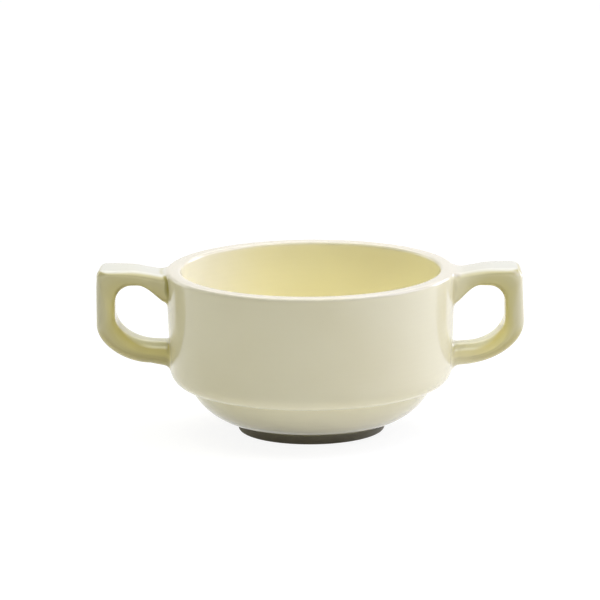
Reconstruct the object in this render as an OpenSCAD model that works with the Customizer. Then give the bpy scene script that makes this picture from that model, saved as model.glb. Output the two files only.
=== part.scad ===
// Two-handled stacking soup cup in thick glazed hotel ware.
// The cup is one fired piece: a turned body with two lugs stuck on before firing.
// The axis of the body is Z, the lugs reach along X, and the foot ring stands on z = 0.

/* [Body] */
// Diameter over the rim
rim_dia = 106; // [98:1:114]
// Height of the rim above the table
body_h = 60; // [56:1:66]
// Thickness of the wall at the rim
rim_t = 5.6; // [4.8:0.1:6.4]
// Radius of the two rounded edges of the rim
rim_edge_r = 1.3; // [0.8:0.1:1.8]
// Lean of the outer wall, in degrees
wall_lean = 1.9; // [0.5:0.1:3]

/* [Stacking step] */
// Height of the step above the table
step_z = 17.6; // [16.6:0.1:18.6]
// Radius of the rounded shoulder above the step
shoulder_r = 7.3; // [6:0.1:8]
// Width of the flat ledge under the shoulder
ledge_w = 0.9; // [0.6:0.1:1.4]
// Radius of the hollow corner between the ledge and the lower bowl
ledge_fillet_r = 0.8; // [0.4:0.1:1]
// Radius of the curve of the lower bowl
bowl_r = 21; // [20:0.5:25]

/* [Foot] */
// Diameter of the foot ring at its side
foot_dia = 53.2; // [50:0.2:56]
// Height of the foot ring
foot_h = 3.1; // [2.7:0.1:3.6]
// Radius of the rounded lower edge of the foot ring
foot_edge_r = 2.1; // [1.2:0.1:2.3]
// Width of the flat ring that touches the table
foot_face_w = 3.2; // [2.6:0.1:4]
// Depth of the recess inside the foot ring
foot_recess = 1.8; // [1.2:0.1:2.4]

/* [Inside] */
// Thickness of the floor in the middle
floor_t = 5.2; // [4.2:0.1:6.2]
// Height at which the inner wall starts to curve in
inner_turn_z = 36; // [34:0.5:40]
// Draft of the inner wall above that height, on the radius
inner_draft = 1; // [0.4:0.1:1.6]
// Fullness of the inner curve: 2 is an ellipse, more is squarer
inner_fullness = 2.3; // [2:0.05:2.4]

/* [Lugs] */
// Width over both lugs
lug_span = 157; // [150:1:164]
// Height of the thumb rests over the rim
lug_rise = 0.9; // [0:0.1:1.5]
// Thickness of the upper arm of a lug
lug_top_t = 5.7; // [5:0.1:6.5]
// Thickness of the outer arm of a lug
lug_side_t = 7.4; // [6.6:0.1:8.2]
// Thickness of the lower arm of a lug
lug_low_t = 7.3; // [6.5:0.1:8.1]
// Height of the underside of the left lug above the table
lug_low_z = 26.2; // [25.6:0.1:28]
// How much deeper the right lug reaches, as the two were stuck on by hand
lug_right_drop = 1.8; // [0:0.1:2]
// Length of the lower outer corner of the left lug, seen from the front
lug_corner_w = 18.5; // [14:0.5:20]
// How much longer that corner is on the right lug
lug_right_stretch = 4.5; // [0:0.5:5]
// Width of the thumb rest
rest_w = 19.4; // [17:0.2:21]
// Width of the waist of the upper arm
waist_w = 17.4; // [16:0.2:19]
// Width of the lower arm
low_w = 13.2; // [11:0.2:15]
// Width of each lug where it joins the wall
root_w = 20.4; // [19:0.2:22]
// Widening of the lower arm where it joins the wall
low_flare = 1.6; // [0:0.1:3]
// Radius of the edges along a lug
lug_edge_r = 2.1; // [1:0.1:2.4]

/* [Lugs from the front] */
// Radius of the upper outer corner
top_corner_r = 3.6; // [2.5:0.1:5]
// Radius of the upper outer corner of the finger gap
hole_top_r = 5.2; // [4:0.1:6]
// Height at which the outer arm starts to curve in
turn_z = 44; // [41:0.5:45]
// Length of the lower outer corner of the finger gap
hole_corner_w = 12.4; // [9:0.2:13]
// Fullness of the lower corners: 2 is an ellipse, less is flatter
corner_fullness = 1.8; // [1.6:0.05:2.2]
// Depth of the web that thickens the upper arm at the wall
web_drop = 7.3; // [4:0.1:9]
// Length of that web
web_reach = 12.4; // [9:0.2:14]
// Depth of the top of a lug below the rim, where it joins the wall
root_drop = 0.8; // [0.5:0.1:2]
// Length of the rise from there to the thumb rest
rise_len = 15; // [10:0.5:18]
// Fall of the lower arm between its corner and the wall
low_fall = 0.6; // [0:0.1:1.2]

/* [Hidden] */
$fn = 96;

// Colour of the glaze
glaze = "#eae2c0";

// Body: radii and heights that follow from the driving sizes
rim_r = rim_dia / 2;
rim_in_r = rim_r - rim_t;
shoulder_z = step_z + shoulder_r;
shoulder_cr = rim_r - (body_h - shoulder_z) * tan(wall_lean) - shoulder_r / cos(wall_lean);
step_r = shoulder_cr - ledge_w;
foot_r = foot_dia / 2;
foot_flat_r = foot_r - foot_edge_r;
foot_in_r = foot_flat_r - foot_face_w;
// Slope of the recess, on the radius: its mouth is wider than its roof
recess_slope = 0.9;
floor_z = foot_recess + floor_t;
inner_turn_r = rim_in_r - inner_draft;

// Lower bowl: the circle of radius bowl_r through the step and the top of the foot
step_pt = [step_r, step_z];
foot_pt = [foot_r, foot_h];
chord = step_pt - foot_pt;
chord_len = norm(chord);
chord_up = [-chord[1], chord[0]] / chord_len;
bowl_c = (step_pt + foot_pt) / 2 + chord_up * sqrt(bowl_r * bowl_r - chord_len * chord_len / 4);

// Hollow corner under the ledge: a circle that touches the ledge and the bowl
ledge_cz = step_z - ledge_fillet_r;
ledge_cr = bowl_c[0] + sqrt(pow(bowl_r + ledge_fillet_r, 2) - pow(ledge_cz - bowl_c[1], 2));
ledge_c = [ledge_cr, ledge_cz];
ledge_angle = atan2(ledge_c[1] - bowl_c[1], ledge_c[0] - bowl_c[0]);
bowl_start = atan2(foot_h - bowl_c[1], foot_r - bowl_c[0]);

// Lugs: places in the XZ plane of the right lug
// A lug starts inside the wall, short of the inner face, so that the two are one solid
root_x = rim_in_r + 2.1;
rise_start_x = rim_r - 1;
lug_x = lug_span / 2;
hole_x = lug_x - lug_side_t;
rest_z = body_h + lug_rise;
root_top_z = body_h - root_drop;
under_z = rest_z - lug_top_t;
// The waist lies this far along the upper arm, and the thumb rest is full after it
waist_at = 0.42;
rest_from = 0.3;

// Longest step along a curve of the body, and the fewest steps in one
curve_step = 1.5;
curve_min_n = 4;
inner_n = 18;
// Sections along the upper arm, each bend, and each straight, and steps on each rounded edge
run_n = 10;
bend_n = 10;
side_n = 4;
edge_n = 4;
// Flat that is left between two rounded edges of a thin arm
edge_flat = 0.4;

// Points on an arc, angles in degrees
function arc(c, r, a0, a1) =
    let (n = max(curve_min_n, ceil(abs(a1 - a0) / 180 * PI * r / curve_step)))
    [for (i = [0:n]) let (a = a0 + (a1 - a0) * i / n) c + r * [cos(a), sin(a)]];

// Inner curve: a superellipse from the inner wall down to the middle of the floor
function inner_curve() =
    [for (i = [1:inner_n - 1]) let (a = 90 * i / inner_n)
        [inner_turn_r * pow(cos(a), 2 / inner_fullness),
         inner_turn_z - (inner_turn_z - floor_z) * pow(sin(a), 2 / inner_fullness)]];

// Section of the body, from the middle of the underside round to the middle of the floor
body_outline = concat(
    [[0, foot_recess], [foot_in_r - recess_slope, foot_recess], [foot_in_r, 0]],
    arc([foot_flat_r, foot_edge_r], foot_edge_r, -90, 0),
    arc(bowl_c, bowl_r, bowl_start, ledge_angle),
    arc(ledge_c, ledge_fillet_r, 180 + ledge_angle, 90),
    arc([shoulder_cr, shoulder_z], shoulder_r, -90, -wall_lean),
    arc([rim_r - rim_edge_r, body_h - rim_edge_r], rim_edge_r, 0, 90),
    arc([rim_in_r + rim_edge_r, body_h - rim_edge_r], rim_edge_r, 90, 180),
    [[inner_turn_r, inner_turn_z]],
    inner_curve(),
    [[0, floor_z]]
);

// Smooth step from 0 to 1, flat at both ends
function ease(t) = (1 - cos(180 * max(0, min(1, t)))) / 2;
function mix(a, b, t) = a + (b - a) * t;

// Top and underside of the upper arm at a distance x from the axis
function top_z(x) = mix(root_top_z, rest_z, ease((x - rise_start_x) / rise_len));
function web_z(x) = under_z - web_drop * (1 - ease((x - root_x) / web_reach));

// One station of a lug: outer point, inner point and width across
function top_run() =
    [for (i = [0:run_n]) let (t = i / run_n,
        xo = mix(root_x, lug_x - top_corner_r, t),
        xi = mix(root_x, hole_x - hole_top_r, t),
        w = mix(mix(root_w, waist_w, ease(t / waist_at)), rest_w, ease((t - rest_from) / (1 - rest_from))))
        [[xo, top_z(xo)], [xi, web_z(xi)], w]];

function top_bend() =
    [for (i = [1:bend_n]) let (a = 90 - 90 * i / bend_n, d = [cos(a), sin(a)])
        [[lug_x - top_corner_r, rest_z - top_corner_r] + top_corner_r * d,
         [hole_x - hole_top_r, under_z - hole_top_r] + hole_top_r * d,
         rest_w]];

function side_run() =
    [for (i = [1:side_n]) let (t = i / (side_n + 1))
        [[lug_x, mix(rest_z - top_corner_r, turn_z, t)],
         [hole_x, mix(under_z - hole_top_r, turn_z, t)],
         mix(rest_w, low_w, ease(t / 2))]];

// Point on the lower corner: x is its straight side, low its lowest height, w its length
function corner_point(x, low, w, a) =
    [x - w + w * pow(cos(a), 2 / corner_fullness),
     turn_z - (turn_z - low) * pow(sin(a), 2 / corner_fullness)];

function low_bend(low, w) =
    [for (i = [0:bend_n]) let (t = i / bend_n)
        [corner_point(lug_x, low, w, 90 * t),
         corner_point(hole_x, low + lug_low_t, hole_corner_w, 90 * t),
         mix(rest_w, low_w, ease((1 + t) / 2))]];

function low_run(low, w) =
    [for (i = [1:side_n]) let (t = i / side_n)
        [[mix(lug_x - w, root_x, t), low - low_fall * t],
         [mix(hole_x - hole_corner_w, root_x, t), low + lug_low_t - low_fall * t],
         low_w + low_flare * ease(2 * t - 1)]];

// Rounded rectangle across a station, as points round the arm
function section(s) =
    let (o = s[0], n = s[1], w = s[2], thick = norm(o - n), u = (o - n) / thick,
         m = (o + n) / 2, r = min(lug_edge_r, (thick - edge_flat) / 2))
    [for (q = [0:3], i = [0:edge_n]) let (a = 90 * q + 90 * i / edge_n,
        sy = (q == 0 || q == 3) ? 1 : -1, st = (q < 2) ? 1 : -1,
        y = sy * (w / 2 - r) + r * cos(a),
        v = st * (thick / 2 - r) + r * sin(a))
        [m[0] + u[0] * v, y, m[1] + u[1] * v]];

// One lug on the +X side: low is the height of its lower arm, w the length of its corner
module lug(low, w) {
    stations = concat(top_run(), top_bend(), side_run(), low_bend(low, w), low_run(low, w));
    rows = len(stations);
    cols = 4 * (edge_n + 1);
    points = [for (s = stations) each section(s)];
    skin = [for (i = [0:rows - 2], j = [0:cols - 1]) let (k = (j + 1) % cols)
        each [[i * cols + j, (i + 1) * cols + k, i * cols + k],
              [i * cols + j, (i + 1) * cols + j, (i + 1) * cols + k]]];
    ends = [[for (j = [0:cols - 1]) j], [for (j = [cols - 1:-1:0]) (rows - 1) * cols + j]];
    polyhedron(points, concat(skin, ends), convexity = 6);
}

module cup_body() {
    rotate_extrude() polygon(body_outline);
}

// The whole cup: the body with a lug on each side
module cup() {
    color(glaze) union() {
        cup_body();
        lug(lug_low_z - lug_right_drop, lug_corner_w + lug_right_stretch);
        mirror([1, 0, 0]) lug(lug_low_z, lug_corner_w);
    }
}

cup();
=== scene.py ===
import math

import bmesh
import bpy
from mathutils import Matrix, Vector
from mathutils.geometry import delaunay_2d_cdt


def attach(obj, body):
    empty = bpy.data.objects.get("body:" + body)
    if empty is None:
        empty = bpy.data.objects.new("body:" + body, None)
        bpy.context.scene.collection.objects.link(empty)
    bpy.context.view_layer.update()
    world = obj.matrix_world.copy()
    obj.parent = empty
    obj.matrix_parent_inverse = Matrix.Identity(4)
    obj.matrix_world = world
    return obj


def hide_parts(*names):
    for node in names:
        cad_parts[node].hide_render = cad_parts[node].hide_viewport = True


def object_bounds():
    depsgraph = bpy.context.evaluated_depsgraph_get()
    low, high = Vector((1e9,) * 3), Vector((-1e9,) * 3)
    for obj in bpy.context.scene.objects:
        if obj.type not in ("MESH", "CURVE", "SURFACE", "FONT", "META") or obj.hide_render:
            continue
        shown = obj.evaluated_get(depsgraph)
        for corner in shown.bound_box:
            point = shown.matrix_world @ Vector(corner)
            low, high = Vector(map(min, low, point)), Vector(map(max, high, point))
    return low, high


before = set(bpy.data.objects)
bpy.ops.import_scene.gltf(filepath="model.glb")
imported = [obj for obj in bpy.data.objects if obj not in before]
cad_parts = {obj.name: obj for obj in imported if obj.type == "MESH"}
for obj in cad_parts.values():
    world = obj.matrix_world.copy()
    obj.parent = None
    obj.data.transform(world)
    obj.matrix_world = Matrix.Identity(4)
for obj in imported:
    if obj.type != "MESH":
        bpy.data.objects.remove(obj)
cadLow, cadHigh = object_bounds()
mm = 0.001
print("frame loaded:", sorted(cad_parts))


def addNode(tree, kind, settings=None, inputs=None):  # inputs: a value, or the socket that feeds it
    node = tree.nodes.new(kind)
    for name, value in (settings or {}).items():
        setattr(node, name, value)
    for name, value in (inputs or {}).items():
        if isinstance(value, bpy.types.NodeSocket):
            tree.links.new(value, node.inputs[name])
        else:
            node.inputs[name].default_value = value
    return node


def hexColour(code):  # sRGB hex to the linear colour that a socket wants
    parts = [int(code[i:i + 2], 16) / 255 for i in (1, 3, 5)]
    return [c / 12.92 if c <= 0.04045 else ((c + 0.055) / 1.055) ** 2.4 for c in parts] + [1]


def mix(a, b, t):
    return a + (b - a) * t


def ease(t):  # smooth step, flat at both ends
    return (1 - math.cos(math.pi * min(1, max(0, t)))) / 2


# The body's section, in mm. The frame gives the rim, the rest is the cup's own drawing.
bodySizes = {
    "rimRadius": cadHigh.y / mm,
    "height": 60,
    "rimThickness": 5.6,
    "rimEdge": 1.3,
    "wallLean": 1.9,           # degrees
    "stepHeight": 17.6,
    "shoulderRadius": 5.9,
    "ledgeWidth": 0.9,
    "ledgeFillet": 0.8,
    "bowlRadius": 24,
    "footRadius": 26.9,
    "footHeight": 3.4,
    "footEdge": 0.9,
    "footFace": 3.2,
    "footRecess": 1.8,
    "recessSlope": 0.9,
    "floorThickness": 5.2,
    "innerTurn": 36,           # height where the inner wall starts to curve in
    "innerDraft": 1,
    "innerFullness": 2.3,
    "innerParts": 600,         # steps in which that curve is drawn
    "segments": 288,
    "longestStep": 1.0,        # between two points of the section
    "sharpestTurn": 9,         # degrees between two points of the section
    "softening": 24,           # passes that let the glaze round off every corner
}
fineStep = 0.1                 # mm between two points of the section before it is thinned


def arcPoints(centre, radius, start, end, spacing=fineStep):
    count = max(4, math.ceil(abs(math.radians(end - start)) * radius / spacing))
    angles = [math.radians(mix(start, end, i / count)) for i in range(count + 1)]
    return [Vector((centre.x + radius * math.cos(a), centre.y + radius * math.sin(a))) for a in angles]


def linePoints(start, end, spacing=fineStep):
    count = max(1, math.ceil((end - start).length / spacing))
    return [start.lerp(end, i / count) for i in range(count + 1)]


def bodySection(s):  # from the middle of the underside, up the outside, over the rim and down the inside
    lean = math.radians(s["wallLean"])
    shoulderZ = s["stepHeight"] + s["shoulderRadius"]
    shoulderC = Vector((s["rimRadius"] - (s["height"] - shoulderZ) * math.tan(lean)
                        - s["shoulderRadius"] / math.cos(lean), shoulderZ))
    step = Vector((shoulderC.x - s["ledgeWidth"], s["stepHeight"]))
    footTop = Vector((s["footRadius"], s["footHeight"]))
    chord = step - footTop
    rise = Vector((-chord.y, chord.x)).normalized()
    bowlC = (step + footTop) / 2 + rise * math.sqrt(s["bowlRadius"] ** 2 - chord.length_squared / 4)
    ledgeZ = s["stepHeight"] - s["ledgeFillet"]
    reach = s["bowlRadius"] + s["ledgeFillet"]
    ledgeC = Vector((bowlC.x + math.sqrt(reach ** 2 - (ledgeZ - bowlC.y) ** 2), ledgeZ))
    bowlEnd = math.degrees(math.atan2(ledgeC.y - bowlC.y, ledgeC.x - bowlC.x))
    bowlStart = math.degrees(math.atan2(footTop.y - bowlC.y, footTop.x - bowlC.x))
    edge = s["rimEdge"]
    innerRim = s["rimRadius"] - s["rimThickness"]
    innerR = innerRim - s["innerDraft"]
    floorZ = s["footRecess"] + s["floorThickness"]
    footFlat = s["footRadius"] - s["footEdge"]
    footInner = footFlat - s["footFace"]
    outerEdgeC = Vector((s["rimRadius"] - edge, s["height"] - edge))
    innerEdgeC = Vector((innerRim + edge, s["height"] - edge))
    power = 2 / s["innerFullness"]
    inner = [Vector((innerR * math.cos(a) ** power,
                     s["innerTurn"] - (s["innerTurn"] - floorZ) * math.sin(a) ** power))
             for a in (math.pi / 2 * i / s["innerParts"] for i in range(1, s["innerParts"]))]
    runs = [
        linePoints(Vector((0, s["footRecess"])), Vector((footInner - s["recessSlope"], s["footRecess"]))),
        linePoints(Vector((footInner - s["recessSlope"], s["footRecess"])), Vector((footInner, 0))),
        linePoints(Vector((footInner, 0)), Vector((footFlat, 0))),
        arcPoints(Vector((footFlat, s["footEdge"])), s["footEdge"], -90, 0),
        linePoints(Vector((s["footRadius"], s["footEdge"])), footTop),
        arcPoints(bowlC, s["bowlRadius"], bowlStart, bowlEnd),
        arcPoints(ledgeC, s["ledgeFillet"], 180 + bowlEnd, 90),
        arcPoints(shoulderC, s["shoulderRadius"], -90, -s["wallLean"]),
        arcPoints(outerEdgeC, edge, -s["wallLean"], 90),
        arcPoints(innerEdgeC, edge, 90, 180),
        linePoints(Vector((innerRim, s["height"] - edge)), Vector((innerR, s["innerTurn"]))),
        inner,
        [Vector((0, floorZ))],
    ]
    return [p for run in runs for p in run]


def evenly(points, spacing):  # the same line in equal steps
    lengths = [0]
    for a, b in zip(points, points[1:]):
        lengths.append(lengths[-1] + (b - a).length)
    count = round(lengths[-1] / spacing)
    made, k = [], 0
    for i in range(count + 1):
        want = lengths[-1] * i / count
        while k < len(points) - 2 and lengths[k + 1] < want:
            k += 1
        span = lengths[k + 1] - lengths[k]
        made.append(points[k].lerp(points[k + 1], (want - lengths[k]) / span if span else 0))
    return made


def softened(points, passes):  # glaze fills hollows and thins on edges
    for _ in range(passes):
        points = ([points[0]] + [(a + 2 * b + c) / 4 for a, b, c in zip(points, points[1:], points[2:])]
                  + [points[-1]])
    return points


def thinned(points, longest, turn):  # keeps a point after so many mm, or so many degrees
    kept, run, bend = [0], 0, 0
    for i in range(1, len(points) - 1):
        before, after = points[i] - points[i - 1], points[i + 1] - points[i]
        run += before.length
        bend += abs(math.degrees(before.angle_signed(after, 0)))
        if run >= longest or bend >= turn:
            kept.append(i)
            run, bend = 0, 0
    if (points[-1] - points[kept[-1]]).length < longest / 2:
        kept.pop()
    return [points[i] for i in kept + [len(points) - 1]]


section = softened(evenly(bodySection(bodySizes), fineStep), bodySizes["softening"])
section = thinned(section, bodySizes["longestStep"], bodySizes["sharpestTurn"])
along = [0.0]
for a, b in zip(section, section[1:]):
    along.append(along[-1] + (b - a).length)
rimTop = max(range(len(section)), key=lambda i: section[i].y)
insideStart = along[rimTop]    # mm along the section, at the top of the rim
print("section drawn:", len(section), "points,", round(along[-1], 1), "mm long")


# The turned body: a tree that sweeps the section round the axis
def turningTree():
    tree = bpy.data.node_groups.new("turnedBody", "GeometryNodeTree")
    sockets = tree.interface
    sockets.new_socket("Section", in_out="INPUT", socket_type="NodeSocketGeometry")
    sockets.new_socket("Segments", in_out="INPUT", socket_type="NodeSocketInt")
    sockets.new_socket("Turning Radius", in_out="INPUT", socket_type="NodeSocketFloat")
    sockets.new_socket("Weld", in_out="INPUT", socket_type="NodeSocketFloat")
    sockets.new_socket("Glaze", in_out="INPUT", socket_type="NodeSocketMaterial")
    sockets.new_socket("Body", in_out="OUTPUT", socket_type="NodeSocketGeometry")
    given = addNode(tree, "NodeGroupInput").outputs
    sectionLine = addNode(tree, "GeometryNodeMeshToCurve", inputs={"Mesh": given["Section"]})
    wheel = addNode(tree, "GeometryNodeCurvePrimitiveCircle",
                    inputs={"Resolution": given["Segments"], "Radius": given["Turning Radius"]})
    turned = addNode(tree, "GeometryNodeCurveToMesh",
                     inputs={"Curve": wheel.outputs["Curve"], "Profile Curve": sectionLine.outputs["Curve"]})
    welded = addNode(tree, "GeometryNodeMergeByDistance",
                     inputs={"Geometry": turned.outputs["Mesh"], "Distance": given["Weld"]})
    smooth = addNode(tree, "GeometryNodeSetShadeSmooth",
                     inputs={"Geometry": welded.outputs["Geometry"], "Shade Smooth": True})
    real = addNode(tree, "GeometryNodeRealizeInstances",
                   inputs={"Geometry": smooth.outputs["Geometry"]})
    glazed = addNode(tree, "GeometryNodeSetMaterial",
                     inputs={"Geometry": real.outputs["Geometry"], "Material": given["Glaze"]})
    addNode(tree, "NodeGroupOutput", inputs={"Body": glazed.outputs["Geometry"]})
    return tree


def turnedBody(name, glaze):
    weld, wheel = 0.002 * mm, 50 * mm
    mesh = bpy.data.meshes.new(name)
    mesh.from_pydata([(p.x * mm - wheel, -p.y * mm, 0) for p in section],
                     [(i, i + 1) for i in range(len(section) - 1)], [])
    mesh.attributes.new("along", "FLOAT", "POINT").data.foreach_set("value", along)
    mesh.attributes.new("lug", "FLOAT", "POINT")
    mesh.attributes.new("inward", "FLOAT", "POINT")
    body = bpy.data.objects.new(name, mesh)
    bpy.context.scene.collection.objects.link(body)
    tree = turningTree()
    turning = body.modifiers.new("turning", "NODES")
    turning.node_group = tree
    inputs = {"Segments": bodySizes["segments"], "Turning Radius": wheel, "Weld": weld, "Glaze": glaze}
    for item in tree.interface.items_tree:
        if item.in_out == "INPUT" and item.name in inputs:
            turning[item.identifier] = inputs[item.name]
    plain = bpy.data.meshes.new_from_object(body.evaluated_get(bpy.context.evaluated_depsgraph_get()))
    body.modifiers.remove(turning)
    body.data = plain
    return body


# The lugs, in mm. Outer and inner line seen from the front, and the width across.
high = cadHigh / mm
lugSizes = {
    "reach": high.x,
    "restHeight": high.z,
    "rootDrop": 0.8,
    "riseBack": 1,             # the rise to the thumb rest starts so far inside the rim's radius
    "riseLength": 15,
    "rootX": 49.5,             # where a lug starts and ends, inside the wall
    "restWidth": 19.4,
    "waistWidth": 17.4,
    "lowWidth": 13.2,
    "rootWidth": 20.4,
    "lowFlare": 1.6,
    "topEdge": 2.9,            # radii along the edges
    "underEdge": 2.3,
    "holeEdge": 2.2,
    "backEdge": 4.2,
    "lowOuterEdge": 3.6,
    "lowInnerEdge": 4.2,
    "crown": 0.45,             # how far the faces bulge between two edges
    "lowCrown": 1.0,           # on the lower arm they meet in a soft ridge
    "crownPower": 1.7,         # higher keeps them flatter in their middle
    "faceCrown": 0.2,          # the same bulge to the outside and to the finger gap
    "mostEdge": 1.9,           # an outer and an inner radius together, in half thicknesses
    "slantFrom": 59,           # height where the slant of the thumb rest starts to ease off
    "slantFade": 5,            # mm further down, and the share of the slant that stays there
    "slantLeft": 0.25,
    "askewFrom": 40,           # height where a lug starts to lean to the back
    "askewRise": 18,           # mm further up, where it does so in full
    "webPower": 0.85,
    "waistAt": 0.42,           # shares of the way along the top: where it is narrowest,
    "restFrom": 0.3,           # where it widens to the thumb rest,
    "edgesFrom": 0.7,          # where the edges start to change, and how long they take
    "edgesRun": 0.6,
    "cornerRun": 1.2,          # the way round the gap's lower corner, in lengths of that corner
    "topParts": 60,            # sections to choose from, along each part of a lug
    "bendParts": 24,
    "sideParts": 20,
    "cornerParts": 80,
    "lowParts": 30,
    "step": 0.8,               # mm between two sections that are kept
    "edgeParts": 6,            # steps round each edge of a section, and across its two kinds of face
    "faceParts": (10, 6),
    "filletRings": 6,
    "lugColourRings": (4, 28),     # sections from the wall over which the lug's colour, with its painted shade, comes in
}
lugPairs = [  # the two differ a little, as they were stuck on and fettled by hand
    {
        "side": -1,
        "reachLess": 0,
        "lean": 0,                 # how far the outer arm leans in at its top
        "slant": 1.4,              # of the thumb rest's end, from front to back
        "askew": 1.5,              # how far to the back the thumb rest was set
        "topCorner": 2.2,
        "outerEdge": 3.8,
        "topThickness": 5.7,
        "sideThickness": 7.1,
        "lowThickness": 8.2,
        "holeCorner": 6.4,
        "low": 25.6,               # height of the lowest point, and where the lower corner starts
        "turn": 40.3,
        "fullness": 1.8,           # 2 is an ellipse, less is flatter
        "cornerLength": 19.5,
        "holeTurn": 44.0,          # the same corner on the side of the gap
        "holeFullness": 2.0,
        "holeCornerLength": 15.5,
        "lowFall": 1.9,            # how far the lower arm falls towards the wall, outside and in the gap
        "holeFall": 0.3,
        "webStart": 52.5,          # the web under the top: where it leaves the wall, its drop and its run
        "webDrop": 6.5,
        "webReach": 10.5,
        "topJoint": 1.2,           # fillet where the top meets the rim
        "lowJoint": 2.1,           # fillet under the web and round the lower arm
        "rootLugColour": 1,            # share of the lug's colour and painted shade beside the wall
    },
    {
        "side": 1,
        "reachLess": 0.4,
        "lean": 0.6,
        "slant": 0,
        "askew": 0,
        "topCorner": 3.6,
        "outerEdge": 4.0,
        "topThickness": 6.3,
        "sideThickness": 7.2,
        "lowThickness": 8.3,
        "holeCorner": 6.2,
        "low": 23.9,
        "turn": 41.0,
        "fullness": 1.97,
        "cornerLength": 25.5,
        "holeTurn": 42.3,
        "holeFullness": 2.0,
        "holeCornerLength": 14.4,
        "lowFall": 1.2,
        "holeFall": 0.6,
        "webStart": 52.0,
        "webDrop": 7.1,
        "webReach": 10,
        "topJoint": 1.8,
        "lowJoint": 2.3,
        "rootLugColour": 0.4,
    },
]


def lugStations(s, one):
    riseStart = bodySizes["rimRadius"] - s["riseBack"]
    rootTop = bodySizes["height"] - s["rootDrop"]
    under = s["restHeight"] - one["topThickness"]
    reach = s["reach"] - one["reachLess"]
    topReach = reach - one["lean"]
    holeX = reach - one["sideThickness"]
    low, cornerLength, topCorner = one["low"], one["cornerLength"], one["topCorner"]
    lowTop = low + one["lowThickness"]
    holeCorner, holeLength = one["holeCorner"], one["holeCornerLength"]
    sideRun = under - holeCorner - one["holeTurn"]
    share = sideRun / (sideRun + s["cornerRun"] * holeLength)  # of the narrowing, down the arm
    stations = []

    def add(outer, inner, width, edges, crown=s["crown"]):  # edges: outer front, outer back, both inner
        stations.append((Vector(outer), Vector(inner), width, edges, crown))

    def turning(a, b, t):  # from one set of edges to the next
        return [mix(x, y, ease(t)) for x, y in zip(a, b)]

    def corner(x, top, lowest, length, fullness, a):
        power = 2 / fullness
        return (x - length + length * math.cos(a) ** power, top - (top - lowest) * math.sin(a) ** power)

    edgesDone = (1 - s["edgesFrom"]) / s["edgesRun"]  # share of their change that falls on the top
    topEdges = (s["topEdge"], s["topEdge"], s["underEdge"])
    restEdges = (one["outerEdge"], s["backEdge"], s["holeEdge"])
    armEdges = (one["outerEdge"], one["outerEdge"], s["holeEdge"])
    lowEdges = (s["lowOuterEdge"], s["lowOuterEdge"], s["lowInnerEdge"])
    for i in range(s["topParts"] + 1):  # the top with its web, from the wall to the thumb rest
        t = i / s["topParts"]
        xo = mix(s["rootX"], topReach - topCorner, t)
        xi = mix(s["rootX"], holeX - holeCorner, t)
        waist = mix(s["rootWidth"], s["waistWidth"], ease(t / s["waistAt"]))
        web = 1 - ease(max(0, (xi - one["webStart"]) / one["webReach"]) ** s["webPower"])
        add((xo, mix(rootTop, s["restHeight"], ease((xo - riseStart) / s["riseLength"]))),
            (xi, under - one["webDrop"] * web),
            mix(waist, s["restWidth"], ease((t - s["restFrom"]) / (1 - s["restFrom"]))),
            turning(topEdges, restEdges, (t - s["edgesFrom"]) / s["edgesRun"]))
    for i in range(1, s["bendParts"] + 1):  # round the outer top corner
        t = i / s["bendParts"]
        a = math.radians(90 - 90 * t)
        way = Vector((math.cos(a), math.sin(a)))
        add(Vector((topReach - topCorner, s["restHeight"] - topCorner)) + topCorner * way,
            Vector((holeX - holeCorner, under - holeCorner)) + holeCorner * way,
            s["restWidth"], turning(topEdges, restEdges, mix(edgesDone, 1, t)))
    for i in range(1, s["sideParts"]):  # down the outer arm
        t = i / s["sideParts"]
        add((mix(topReach, reach, t), mix(s["restHeight"] - topCorner, one["turn"], t)),
            (holeX, mix(under - holeCorner, one["holeTurn"], t)),
            mix(s["restWidth"], s["lowWidth"], ease(share * t)), turning(restEdges, armEdges, t))
    for i in range(s["cornerParts"] + 1):  # round the lower corner
        t = i / s["cornerParts"]
        a = min(math.pi / 2 * t, math.pi / 2 - 1e-9)
        add(corner(reach, one["turn"], low, cornerLength, one["fullness"], a),
            corner(holeX, one["holeTurn"], lowTop, holeLength, one["holeFullness"], a),
            mix(s["restWidth"], s["lowWidth"], ease(mix(share, 1, t))), turning(armEdges, lowEdges, t),
            mix(s["crown"], s["lowCrown"], ease(t)))
    for i in range(1, s["lowParts"] + 1):  # back to the wall, with a flare over the last half
        t = i / s["lowParts"]
        add((mix(reach - cornerLength, s["rootX"], t), low - one["lowFall"] * t),
            (mix(holeX - holeLength, s["rootX"], t), lowTop - one["holeFall"] * t),
            s["lowWidth"] + s["lowFlare"] * ease(2 * t - 1), lowEdges, s["lowCrown"])
    return stations


def armSection(half, thick, edges, crown, s):  # offsets across and through the arm: a crowned oblong
    front, back, inner = edges
    room = s["mostEdge"] * thick
    corners = [min(back, room - inner), min(front, room - inner), inner, inner]
    signs = [(1, 1), (-1, 1), (-1, -1), (1, -1)]
    points = []

    def rounded(quarter, a):
        r = corners[quarter % 4]
        across, through = signs[quarter % 4]
        return Vector((across * (half - r) + r * math.cos(a), through * (thick - r) + r * math.sin(a)))

    for quarter in range(4):  # round one edge, then across the face to the next
        turns = [math.radians(90 * quarter + 90 * i / s["edgeParts"]) for i in range(s["edgeParts"] + 1)]
        points += [rounded(quarter, a) for a in turns]
        start, end = points[-1], rounded(quarter + 1, turns[-1])
        flat = s["faceParts"][quarter % 2]
        points += [start.lerp(end, i / flat) for i in range(1, flat)]
    return [Vector((p.x * (1 - crown / half * abs(p.y / thick) ** s["crownPower"]),
                    p.y * (1 - s["faceCrown"] / thick * (p.x / half) ** 2)))
            for p in points]


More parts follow.
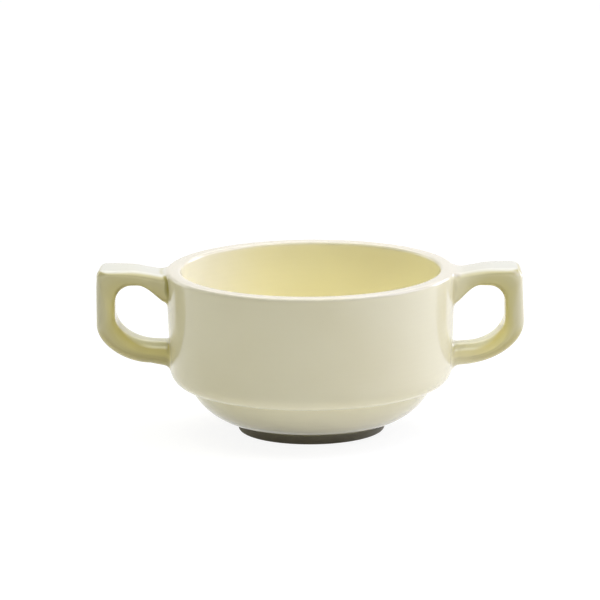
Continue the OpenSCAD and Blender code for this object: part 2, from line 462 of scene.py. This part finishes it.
def lugRing(station, s, one):
    outer, inner, width, edges, crown = station
    thick = (outer - inner).length / 2
    up = (outer - inner).normalized()
    middle = (outer + inner) / 2
    out = ease((outer.x - s["rootX"]) / (s["reach"] - s["rootX"]))
    back = one["askew"] * out * ease((outer.y - s["askewFrom"]) / s["askewRise"])
    above = ease((outer.y - s["slantFrom"]) / s["slantFade"] + 1)
    slant = one["slant"] * out * mix(s["slantLeft"], 1, above)
    ring = []
    for p in armSection(width / 2, thick, edges, crown, s):
        x = middle.x + up.x * p.y - slant * (p.x / width + 0.5) * (p.y / thick + 1) / 2
        ring.append(Vector((one["side"] * x, p.x + back, middle.y + up.y * p.y)))
    return ring


def onBody(angle, length):  # point, outward normal and upward direction on the turned surface
    k = max(i for i in range(len(along) - 1) if along[i] <= length)
    p = section[k].lerp(section[k + 1], (length - along[k]) / (along[k + 1] - along[k]))
    a, b = section[max(0, k - 1)], section[min(len(section) - 1, k + 2)]
    way = ((section[k + 1] - section[k]).normalized() + (b - a).normalized()).normalized()
    c, n = math.cos(angle), math.sin(angle)
    return (Vector((p.x * c, p.x * n, p.y)),
            Vector((way.y * c, way.y * n, -way.x)),
            Vector((way.x * c, way.x * n, way.y)))


def bodyDistance(point):  # signed distance to the section, and the length along it of the nearest point
    flat = Vector((math.hypot(point.x, point.y), point.z))
    best = None
    for k in range(len(section) - 1):
        a, b = section[k], section[k + 1]
        way = b - a
        t = min(1, max(0, (flat - a).dot(way) / way.length_squared))
        gap = flat - a - way * t
        if best is None or gap.length < abs(best[0]):
            best = (math.copysign(gap.length, gap.x * way.y - gap.y * way.x), mix(along[k], along[k + 1], t))
    return best


def between(column, at):  # a point part way along one line of a lug
    k = min(int(at), len(column) - 2)
    return column[k].lerp(column[k + 1], at - k)


def jointRings(column, normal, one):  # one line of a lug, from the body's surface to where the lug is plain
    leastSlope, fine = 0.2, 0.05   # at which a line leaves the wall, and the step of the search, in sections
    k = next(i for i, p in enumerate(column) if bodyDistance(p)[0] > 0)
    inside, outside = bodyDistance(column[k - 1])[0], bodyDistance(column[k])[0]
    at = k - 1 + inside / (inside - outside)
    hit = between(column, at)
    length = bodyDistance(hit)[1]
    angle = math.atan2(hit.y, hit.x)
    out, up = onBody(angle, length)[1:]
    around = Vector((-math.sin(angle), math.cos(angle), 0))
    spread = mix(one["topJoint"], one["lowJoint"], (1 - normal.z) / 2)
    flat = (normal - out * normal.dot(out)).normalized() * spread
    radius = math.hypot(hit.x, hit.y)
    foot = (angle + flat.dot(around) / radius, length + flat.dot(up))
    landing, landingOut = onBody(*foot)[:2]
    way = (between(column, at + 2) - hit).normalized()
    lift = (landing - hit).dot(landingOut) / max(leastSlope, way.dot(landingOut))
    corner = hit + way * min(spread, max(0, lift))
    start = at
    while (between(column, start) - corner).dot(way) < spread:
        start += fine
    return foot, landing, corner, start


def lugMesh(s, one):  # rings of points, the two closed lines where they meet the body, and 0 to 1 inward
    rings = [lugRing(station, s, one) for station in lugStations(s, one)]
    columns = [list(column) for column in zip(*rings)]
    count = len(columns)
    beyond = 3                     # sections from the end of a fillet to the first plain one
    ends = []
    for lines in (columns, [column[::-1] for column in columns]):
        joints = []
        for j, column in enumerate(lines):
            tangent = lines[(j + 1) % count][0] - lines[j - 1][0]
            middle = sum((line[0] for line in lines), Vector()) / count
            normal = tangent.cross(column[1] - column[0]).normalized()
            if normal.dot(column[0] - middle) < 0:
                normal.negate()
            joints.append(jointRings(column, normal, one))
        plain = math.ceil(max(joint[3] for joint in joints)) + beyond
        made = []
        for i in range(s["filletRings"]):
            t = i / s["filletRings"]
            made.append([(1 - t) ** 2 * landing + 2 * t * (1 - t) * corner + t * t * between(column, start)
                         for (foot, landing, corner, start), column in zip(joints, lines)])
        gap = max((column[plain] - between(column, joint[3])).length for joint, column in zip(joints, lines))
        steps = max(2, round(gap / s["step"]))
        for i in range(steps):
            made.append([between(column, mix(joint[3], plain, i / steps))
                         for joint, column in zip(joints, lines)])
        ends.append((made, [joint[0] for joint in joints], plain))
    first, last = ends[0][2], len(rings) - 1 - ends[1][2]
    kept = [first]
    for i in range(first + 1, last):
        moved = max((a - b).length for a, b in zip(rings[i], rings[kept[-1]]))
        if moved >= s["step"]:
            kept.append(i)
    middleRings = [rings[i] for i in kept + [last]]
    half, thick, edge = 8, 4, 3    # any oblong will do
    inward = [0.5 - p.y / thick / 2 for p in armSection(half, thick, (edge, edge, edge), 0, s)]
    return ends[0][0] + middleRings + ends[1][0][::-1], (ends[0][1], ends[1][1]), inward


def insideLoop(point, loop):
    odd = False
    for a, b in zip(loop, loop[1:] + loop[:1]):
        if (a.y > point.y) != (b.y > point.y):
            if point.x < a.x + (b.x - a.x) * (point.y - a.y) / (b.y - a.y):
                odd = not odd
    return odd


def loopDistance(point, loop):
    best = 1e9
    for a, b in zip(loop, loop[1:] + loop[:1]):
        way = b - a
        t = min(1, max(0, (point - a).dot(way) / way.length_squared))
        best = min(best, (point - a - way * t).length)
    return best


def joinLug(bm, s, one, rings, feet, inward):  # opens the wall where the lug lands, and sews the two up
    margin, clear = 2.5, 0.5   # mm of wall made anew round a lug, and from its edge to the nearest old point
    radius = bodySizes["rimRadius"]
    axis = 0 if one["side"] > 0 else math.pi

    def unrolled(angle):
        return ((angle - axis + math.pi) % (2 * math.pi) - math.pi) * radius

    loops = [[Vector((unrolled(angle), length)) for angle, length in foot] for foot in feet]
    points = [p for loop in loops for p in loop]
    low = min(p.y for p in points) - margin
    top = max(p.y for p in points) + margin
    wide = max(abs(p.x) for p in points) + margin
    layer = bm.verts.layers.float["along"]
    flat = {v: Vector((round(unrolled(math.atan2(v.co.y, v.co.x)), 3), round(v[layer], 3)))
            for v in bm.verts}
    patch = [f for f in bm.faces if all(low < flat[v].y < top and abs(flat[v].x) < wide for v in f.verts)]
    inPatch = set(patch)
    border = [e for e in {e for f in patch for e in f.edges}
              if sum(f in inPatch for f in e.link_faces) == 1]
    borderVerts = {v for e in border for v in e.verts}
    kept = [v for v in {v for f in patch for v in f.verts}
            if v in borderVerts or not any(insideLoop(flat[v], loop) or loopDistance(flat[v], loop) < clear
                                           for loop in loops)]
    kept.sort(key=lambda v: v.index)
    ringVerts = [[bm.verts.new(p * mm) for p in ring] for ring in rings]
    lugLayer = bm.verts.layers.float["lug"]
    inwardLayer = bm.verts.layers.float["inward"]
    starts, full = s["lugColourRings"]
    for i, ring in enumerate(ringVerts):
        fromWall = min(i, len(rings) - 1 - i)
        share = ease(fromWall / starts) * mix(one["rootLugColour"], 1, ease(fromWall / full))
        landing = feet[0] if i < len(rings) / 2 else feet[1]
        for v, (_, length), depth in zip(ring, landing, inward):
            v[lugLayer] = share
            v[inwardLayer] = depth
            v[layer] = length
    ends = [ringVerts[0], ringVerts[-1]]
    verts = kept + ends[0] + ends[1]
    coords = [flat[v] for v in kept] + points
    number = {v: i for i, v in enumerate(verts)}
    edges = [(number[e.verts[0]], number[e.verts[1]]) for e in border]
    start = len(kept)
    for loop in loops:
        edges += [(start + i, start + (i + 1) % len(loop)) for i in range(len(loop))]
        start += len(loop)
    found, _, triangles, source, _, _ = delaunay_2d_cdt(coords, edges, [], 1, 1e-6, True)
    bmesh.ops.delete(bm, geom=patch, context="FACES_ONLY")
    for triangle in triangles:
        middle = sum((found[i] for i in triangle), Vector((0, 0))) / 3
        if not any(insideLoop(middle, loop) for loop in loops):
            bm.faces.new([verts[source[i][0]] for i in triangle])
    for a, b in zip(ringVerts, ringVerts[1:]):
        for i in range(len(a)):
            k = (i + 1) % len(a)
            bm.faces.new((a[i], a[k], b[k], b[i]))
    bmesh.ops.delete(bm, geom=[e for e in bm.edges if not e.link_faces], context="EDGES")
    bmesh.ops.delete(bm, geom=[v for v in bm.verts if not v.link_edges], context="VERTS")


# the bend also sets where painted shade lies with the gathered glaze in joints
def markGlaze(mesh):  # how much the glaze gathers at each point: below 0 in hollows, above 0 on edges
    bm = bmesh.new()
    bm.from_mesh(mesh)
    bm.verts.ensure_lookup_table()
    bend = []
    for v in bm.verts:
        total, weight = 0.0, 0.0
        for e in v.link_edges:
            gap = e.other_vert(v).co - v.co
            share = 1 / max(gap.length, 1e-6)
            total -= v.normal.dot(gap) / max(gap.length_squared, 1e-12) * share
            weight += share
        bend.append(total / weight * mm)
    near = [[e.other_vert(v).index for e in v.link_edges] for v in bm.verts]
    for _ in range(4):             # glaze has no sharp steps
        bend = [(bend[i] + sum(bend[k] for k in group)) / (1 + len(group)) for i, group in enumerate(near)]
    bm.free()
    mesh.attributes.new("bend", "FLOAT", "POINT").data.foreach_set("value", bend)


def makeCup(glaze):
    cup = turnedBody("glazedCup", glaze)
    bm = bmesh.new()
    bm.from_mesh(cup.data)
    bm.verts.index_update()
    for one in lugPairs:
        rings, feet, inward = lugMesh(lugSizes, one)
        joinLug(bm, lugSizes, one, rings, feet, inward)
        bm.verts.index_update()
        print("lug joined:", len(rings), "rings of", len(rings[0]))
    bmesh.ops.recalc_face_normals(bm, faces=bm.faces)
    for f in bm.faces:
        f.smooth = True
    openEdges = sum(len(e.link_faces) != 2 for e in bm.edges)
    bm.to_mesh(cup.data)
    bm.free()
    markGlaze(cup.data)
    triangles = sum(len(p.vertices) - 2 for p in cup.data.polygons)
    print("cup made:", triangles, "triangles,", openEdges, "open edges")
    return cup


# Glazed stoneware: a cream glaze fired on a buff body. Glossy as glass, softly uneven, deeper in colour
# where it runs together in joints, greyer over the rim and along sharp edges. Much of its colour is painted
# light and shade: painted shade on the lugs, on what faces down, in the joints, on the lower bowl and over
# the rim's top; painted light inside on the left, on the right lug's lower arm and on the floor of the
# finger gap. The foot is wiped bare and dark grey.
glazeLook = {
    "colours": {
        "wall": "#F0EAC8",
        "inside": "#F1EBC4",
        "insidePaintedLight": "#ECE8D4",   # painted light: the left of the inside paler, where the lamps on the right fall on it
        "lug": "#D6CC88",          # painted shade: the lugs deeper and yellower than the wall, most towards the finger gap
        "lugOuter": "#D7D1AD",     # less of the painted shade on the outer side of the arm, paler and greyer
        "lugLow": "#DCD185",       # painted shade: the lower arm deeper yellow
        "lugLowRight": "#F0E59D",  # painted light: the right lug's lower arm paler, on the side the lamps light
        "lugTop": "#BDBCB1",       # painted shade: what faces up on the upper lugs greyed down, holding back its highlight
        "lugRollShade": "#B3AB7A",      # painted shade on faces turned part way up, as on the roll from a lug's front to its top
        "gapFloorLight": "#F9F8DD",    # painted light on the up-facing floor of the finger gap
        "lugUnderShade": "#BCB173",     # painted shade on what faces down, and on the lower front of the low arm
        "pooledAndShaded": "#A2994D",       # glaze gathered in a joint, with painted shade: the left lug's notch under the rim and the joint above the foot
        "cloud": "#DCCF9C",
        "thin": "#C5BFAF",         # a thinner, greyer coat along sharp edges and over the rim, where painted shade also holds down the highlight on the rim's top
        # the foot ring: a flat dark grey below the wiped line
        "bare": "#979180",
    },
    "patterns": {                  # mm from one patch to the next, and how fine its detail is
        "clouds": (38, 2),         # paler and deeper glaze
        "smears": (38 / 3, 3),     # glossier and duller, three to a cloud
        "wiping": (5, 2),          # the uneven line where the foot was wiped
        "wheel": (16, 2),          # by this the turning marks waver
        "ripples": (9, 1),         # the slow waves of the glaze's skin
        "peel": (1.5, 2),          # its fine orange peel
        "grains": (0.45, 3),       # grains of the bare body, drawn coarse enough to show
    },
    "masks": {                     # what it reads, from where to where, and its share at both ends
        "bare": ("wipedHeight", 4.1, 2.5, 0, 1),
        # the joint above the foot: gathered glaze with painted shade
        "footJoint": ("height", 5.5, 4, 0, 1),
        # painted shade: the lower bowl darker towards the foot
        "bowlFootShade": ("height", 10, 4.5, 0, 0.35),
        "inside": ("pastRim", 0, 4, 0, 1),
        # painted light on the left of the inside
        "insidePaintedLight": ("across", -14, -44, 0, 1),
        # the rim's top: thinner glaze, with painted shade holding down its highlight
        "rimTop": ("fromRim", 3.8, 2, 0, 1),
        "sharp": ("bend", 0.12, 0.4, 0, 0.35),
        "hollow": ("bend", -0.02, -0.1, 0, 1),
        "lugRoot": ("lug", 0, 0.06, 0, 1),
        # the notch where the left lug's top meets the rim, on the left only: gathered glaze with painted
        # shade
        "notchHeight": ("height", 48, 55, 0.1, 1),
        "notchSide": ("across", 10, -10, 0.3, 1),
        # the lugs' painted shade deepens towards the finger gap
        "gapSide": ("inward", 0, 0.75, 0, 1),
        # painted light on the right lug's lower arm, painted shade on both lower arms
        "rightSide": ("across", -20, 20, 0, 1),
        "lowArm": ("lowArmHeight", 38, 18, 0, 1),
        # by which way a face looks: painted light and shade on the lugs' tops, rolls, gap floor, lower
        # fronts and undersides
        "rounded": ("facing", 0.25, 0.6, 0, 1),
        "gapFloor": ("facing", 0.48, 0.85, 0, 1),
        "level": ("facing", 0.74, 0.98, 0, 1),
        "lowFront": ("facing", 0.08, -0.25, 0, 0.75),
        "under": ("facing", -0.12, -0.5, 0, 1),
        "cloudy": ("clouds", 0.4, 0.75, 0, 0.15),
        "gloss": ("smears", 0.35, 0.7, 0.07, 0.15),  # its two shares are roughness, glossy and dull
    },
    "bareRoughness": 0.8,
    "ior": 1.52,
    "wipeDepth": 0.6,              # mm that the wiped line wanders
    "lowArmLead": 16,                 # mm that the lower arm's painted shade and light start higher up at the finger gap
    "turnPitch": 2.4,              # mm between the marks that turning left under the glaze
    "turnDepth": 0.005,            # mm, as are the other depths
    "rippleDepth": 0.03,
    "peelDepth": 0.004,
    "grainDepth": 0.03,
}


def glazedStoneware(look):
    material = bpy.data.materials.new("glazedStoneware")
    material.use_nodes = True
    tree = material.node_tree
    tree.nodes.clear()

    # What the glaze follows: marks on the mesh, places in mm, the way a face looks (which the painted light
    # and shade follow), and patterns
    place = addNode(tree, "ShaderNodeTexCoord").outputs["Object"]
    place = addNode(tree, "ShaderNodeVectorMath", {"operation": "SCALE"},
                    {0: place, "Scale": 1 / mm}).outputs["Vector"]
    normal = addNode(tree, "ShaderNodeNewGeometry").outputs["Normal"]
    parts = addNode(tree, "ShaderNodeSeparateXYZ", inputs={"Vector": place}).outputs
    ways = addNode(tree, "ShaderNodeSeparateXYZ", inputs={"Vector": normal}).outputs
    # facing, which way a face looks, is what the lugs' painted light and shade follow
    found = {"across": parts["X"], "height": parts["Z"], "facing": ways["Z"]}
    for name in ("along", "lug", "inward", "bend"):
        found[name] = addNode(tree, "ShaderNodeAttribute", {"attribute_name": name}).outputs["Fac"]
    for name, (size, detail) in look["patterns"].items():
        found[name] = addNode(tree, "ShaderNodeTexNoise", inputs={
            "Vector": place, "Scale": 1 / size, "Detail": detail}).outputs["Fac"]

    measures = [  # what comes of them by sums
        ("pastRim", "SUBTRACT", "along", insideStart),
        ("fromRim", "ABSOLUTE", "pastRim", 0),
        ("lowArmLead", "MULTIPLY", "inward", look["lowArmLead"]),
        ("lowArmHeight", "SUBTRACT", "height", "lowArmLead"),
        ("wiped", "MULTIPLY", "wiping", look["wipeDepth"]),
        ("wipedHeight", "SUBTRACT", "height", "wiped"),
        ("onBody", "SUBTRACT", 1, "lug"),
        ("turned", "ADD", "along", "wheel"),
        ("turnPhase", "MULTIPLY", "turned", 2 * math.pi / look["turnPitch"]),
        ("turnWave", "SINE", "turnPhase", 0),
        ("turnMarks", "MULTIPLY", "turnWave", "onBody"),
    ]
    for name, operation, a, b in measures:
        found[name] = addNode(tree, "ShaderNodeMath", {"operation": operation},
                              {0: found.get(a, a), 1: found.get(b, b)}).outputs["Value"]
    for name, (measure, low, top, start, end) in look["masks"].items():
        found["is " + name] = addNode(tree, "ShaderNodeMapRange", {"interpolation_type": "SMOOTHSTEP"}, {
            "Value": found[measure], "From Min": low, "From Max": top,
            "To Min": start, "To Max": end}).outputs["Result"]
    found["is lug"] = found["lug"]
    meetings = [  # where several of them hold at once
        ("notch", "MULTIPLY", "is lugRoot", "is notchHeight"),
        ("leftNotch", "MULTIPLY", "notch", "is notchSide"),
        ("joint", "MAXIMUM", "leftNotch", "is footJoint"),
        ("is pooled", "MULTIPLY", "is hollow", "joint"),
        ("is thin", "MAXIMUM", "is sharp", "is rimTop"),
        ("is lowFloor", "MULTIPLY", "is gapFloor", "is lowArm"),
        ("upperArm", "SUBTRACT", 1, "is lowArm"),
        ("is lugTop", "MULTIPLY", "is level", "upperArm"),
        ("is darkFront", "MULTIPLY", "is lowFront", "is lowArm"),
        ("is lugUnderShade", "MAXIMUM", "is under", "is darkFront"),
    ]
    for name, operation, a, b in meetings:
        found[name] = addNode(tree, "ShaderNodeMath", {"operation": operation},
                              {0: found.get(a, a), 1: found.get(b, b)}).outputs["Value"]

    # Each coat: its name, what it lies on, where it is, and what it is
    colours = {name: hexColour(code) for name, code in look["colours"].items()}
    coats = [
        ("insideCoat", "inside", "is insidePaintedLight", "insidePaintedLight"),
        ("lowCoat", "lugLow", "is rightSide", "lugLowRight"),
        ("lugCoat", "lugOuter", "is gapSide", "lug"),
        ("lugCoat", "lugCoat", "is rounded", "lugRollShade"),
        ("lugCoat", "lugCoat", "is lowArm", "lowCoat"),
        ("lugCoat", "lugCoat", "is lowFloor", "gapFloorLight"),
        ("lugCoat", "lugCoat", "is lugTop", "lugTop"),
        ("lugCoat", "lugCoat", "is lugUnderShade", "lugUnderShade"),
        ("coat", "wall", "is inside", "insideCoat"),
        ("coat", "coat", "is thin", "thin"),
        ("coat", "coat", "is lug", "lugCoat"),
        ("coat", "coat", "is cloudy", "cloud"),
        # painted shade on the lower bowl
        ("coat", "coat", "is bowlFootShade", "pooledAndShaded"),
        ("coat", "coat", "is pooled", "pooledAndShaded"),
        ("coat", "coat", "is bare", "bare"),
    ]
    for name, below, mask, above in coats:
        colours[name] = addNode(tree, "ShaderNodeMix", {"data_type": "RGBA"}, {
            0: found[mask], 6: colours[below], 7: colours[above]}).outputs[2]
    roughness = addNode(tree, "ShaderNodeMix", {"data_type": "FLOAT"}, {
        0: found["is bare"], 2: found["is gloss"], 3: look["bareRoughness"]}).outputs[0]

    reliefs = [
        ("ripples", look["rippleDepth"], 1),
        ("turnMarks", look["turnDepth"], 1),
        ("peel", look["peelDepth"], 1),
        ("grains", look["grainDepth"], found["is bare"]),
    ]
    skin = None
    for name, depth, strength in reliefs:
        inputs = {"Height": found[name], "Distance": depth * mm, "Strength": strength}
        if skin:
            inputs["Normal"] = skin
        skin = addNode(tree, "ShaderNodeBump", inputs=inputs).outputs["Normal"]

    shader = addNode(tree, "ShaderNodeBsdfPrincipled", inputs={
        "Base Color": colours["coat"], "Roughness": roughness, "Normal": skin, "IOR": look["ior"]})
    addNode(tree, "ShaderNodeOutputMaterial", inputs={"Surface": shader.outputs["BSDF"]})
    return material


cup = makeCup(glazedStoneware(glazeLook))
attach(cup, "root")
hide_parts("cup")


# The camera stands where the photograph was taken from
cameraPlace = {
    "distance": 2000,          # mm to the middle of the rim
    "elevation": 12.4,         # degrees
    "roll": -0.45,
    "scale": 2.733,            # pixels to a mm at the middle of the rim
    "rimPixel": (310.4, 268.2),
    "picture": 600,
}


def makeCamera(p):
    focal = p["scale"] * p["distance"]
    e, roll = math.radians(p["elevation"]), math.radians(p["roll"])
    forward = Vector((0, math.cos(e), -math.sin(e)))
    up = Vector((0, math.sin(e), math.cos(e)))
    right = Vector((1, 0, 0))
    sideways = right * math.cos(roll) + up * math.sin(roll)
    upwards = up * math.cos(roll) - right * math.sin(roll)
    half = p["picture"] / 2
    offX = (p["rimPixel"][0] - half) / focal
    offY = (half - p["rimPixel"][1]) / focal
    rimMiddle = Vector((0, 0, bodySizes["height"]))
    place = rimMiddle - p["distance"] * (forward + sideways * offX + upwards * offY)
    data = bpy.data.cameras.new("camera")
    data.sensor_width = 36
    data.lens = focal / p["picture"] * data.sensor_width
    data.clip_start, data.clip_end = 0.01, 50
    camera = bpy.data.objects.new("camera", data)
    camera.matrix_world = Matrix.Translation(place * mm) @ Matrix(
        (sideways, upwards, -forward)).transposed().to_4x4()
    bpy.context.scene.collection.objects.link(camera)
    bpy.context.scene.camera = camera


makeCamera(cameraPlace)
print("camera set")


# Studio: a white table and room, and five soft lamps
def areaLamp(name, place, aim, size, power, colour):
    data = bpy.data.lights.new(name, "AREA")
    data.color = hexColour(colour)[:3]
    data.shape = "RECTANGLE"
    data.size, data.size_y = size
    data.energy = power
    lamp = bpy.data.objects.new(name, data)
    lamp.location = place
    lamp.rotation_mode = "QUATERNION"
    lamp.rotation_quaternion = (Vector(aim) - Vector(place)).to_track_quat("-Z", "Y")
    bpy.context.scene.collection.objects.link(lamp)


# Table paper: plain matt white. What the camera and the reflections see of it is lifted to the white
# of the backdrop, and the rest of its tone still comes from the lamps, so the cup keeps its shadow.
tableLook = {
    "paper": 0.8,              # share of light that it throws back on the cup
    "lift": 0.9,               # its own white for the camera and for reflections
    "shade": 0.15,             # how much of its real tone they see
    "reach": 4.0,              # metres from the cup to its edge
}


def backgroundRays(tree):  # 1 for rays from the camera and for those that a glossy or clear thing sends
    rays = addNode(tree, "ShaderNodeLightPath").outputs
    seen = addNode(tree, "ShaderNodeMath", {"operation": "MAXIMUM"},
                   {0: rays["Is Camera Ray"], 1: rays["Is Glossy Ray"]}).outputs["Value"]
    return addNode(tree, "ShaderNodeMath", {"operation": "MAXIMUM"},
                   {0: seen, 1: rays["Is Transmission Ray"]}).outputs["Value"]


def makeTable(look):
    half = look["reach"]
    mesh = bpy.data.meshes.new("table")
    corners = [(-half, -half, 0), (half, -half, 0), (half, half, 0), (-half, half, 0)]
    mesh.from_pydata(corners, [], [(0, 1, 2, 3)])
    table = bpy.data.objects.new("table", mesh)
    material = bpy.data.materials.new("tablePaper")
    material.use_nodes = True
    tree = material.node_tree
    tree.nodes.clear()
    seen = backgroundRays(tree)
    tone = addNode(tree, "ShaderNodeMapRange", inputs={
        "Value": seen, "To Min": look["paper"], "To Max": look["shade"]}).outputs["Result"]
    lift = addNode(tree, "ShaderNodeMath", {"operation": "MULTIPLY"},
                   {0: seen, 1: look["lift"]}).outputs["Value"]
    paper = addNode(tree, "ShaderNodeBsdfDiffuse", inputs={"Color": tone})
    glow = addNode(tree, "ShaderNodeEmission", inputs={"Color": (1, 1, 1, 1), "Strength": lift})
    both = addNode(tree, "ShaderNodeAddShader",
                   inputs={0: paper.outputs["BSDF"], 1: glow.outputs["Emission"]})
    addNode(tree, "ShaderNodeOutputMaterial", inputs={"Surface": both.outputs["Shader"]})
    mesh.materials.append(material)
    bpy.context.scene.collection.objects.link(table)


makeTable(tableLook)
print("table laid")


# The room: white to the camera and in reflections, and almost dark as a light
def makeRoom(light):
    world = bpy.data.worlds.new("studio")
    bpy.context.scene.world = world
    world.use_nodes = True
    tree = world.node_tree
    tree.nodes.clear()
    strength = addNode(tree, "ShaderNodeMapRange", inputs={
        "Value": backgroundRays(tree), "To Min": light, "To Max": 1.0}).outputs["Result"]
    back = addNode(tree, "ShaderNodeBackground", inputs={"Color": (1, 1, 1, 1), "Strength": strength})
    addNode(tree, "ShaderNodeOutputWorld", inputs={"Surface": back.outputs["Background"]})


roomLight = 0.04               # strength of the room as a light
makeRoom(roomLight)

lampAim = (0, 0, 0.03)         # metres, the middle of the cup
lamps = {  # place and size in metres, power in watts, colour: cooler on the right, warmer overhead
    "overhead": ((0, 0, 1.0), (1.0, 1.0), 10.4, "#FFFFEF"),
    "right": ((0.7, 0, 0.8), (0.7, 1.0), 8.1, "#DEDEFF"),
    "behind": ((0, 0.7, 0.8), (1.0, 0.7), 4.1, "#FFFFFF"),
    "backRight": ((0.8, 0.6, 0.3), (0.5, 0.5), 4.0, "#E1E7FF"),
    "backLeft": ((-0.8, 0.6, 0.3), (0.5, 0.5), 1.2, "#FFFFFF"),
}
for name, (place, size, power, colour) in lamps.items():
    areaLamp(name, place, lampAim, size, power, colour)
print("lamps set:", len(lamps))
bpy.context.scene.view_settings.view_transform = "Standard"
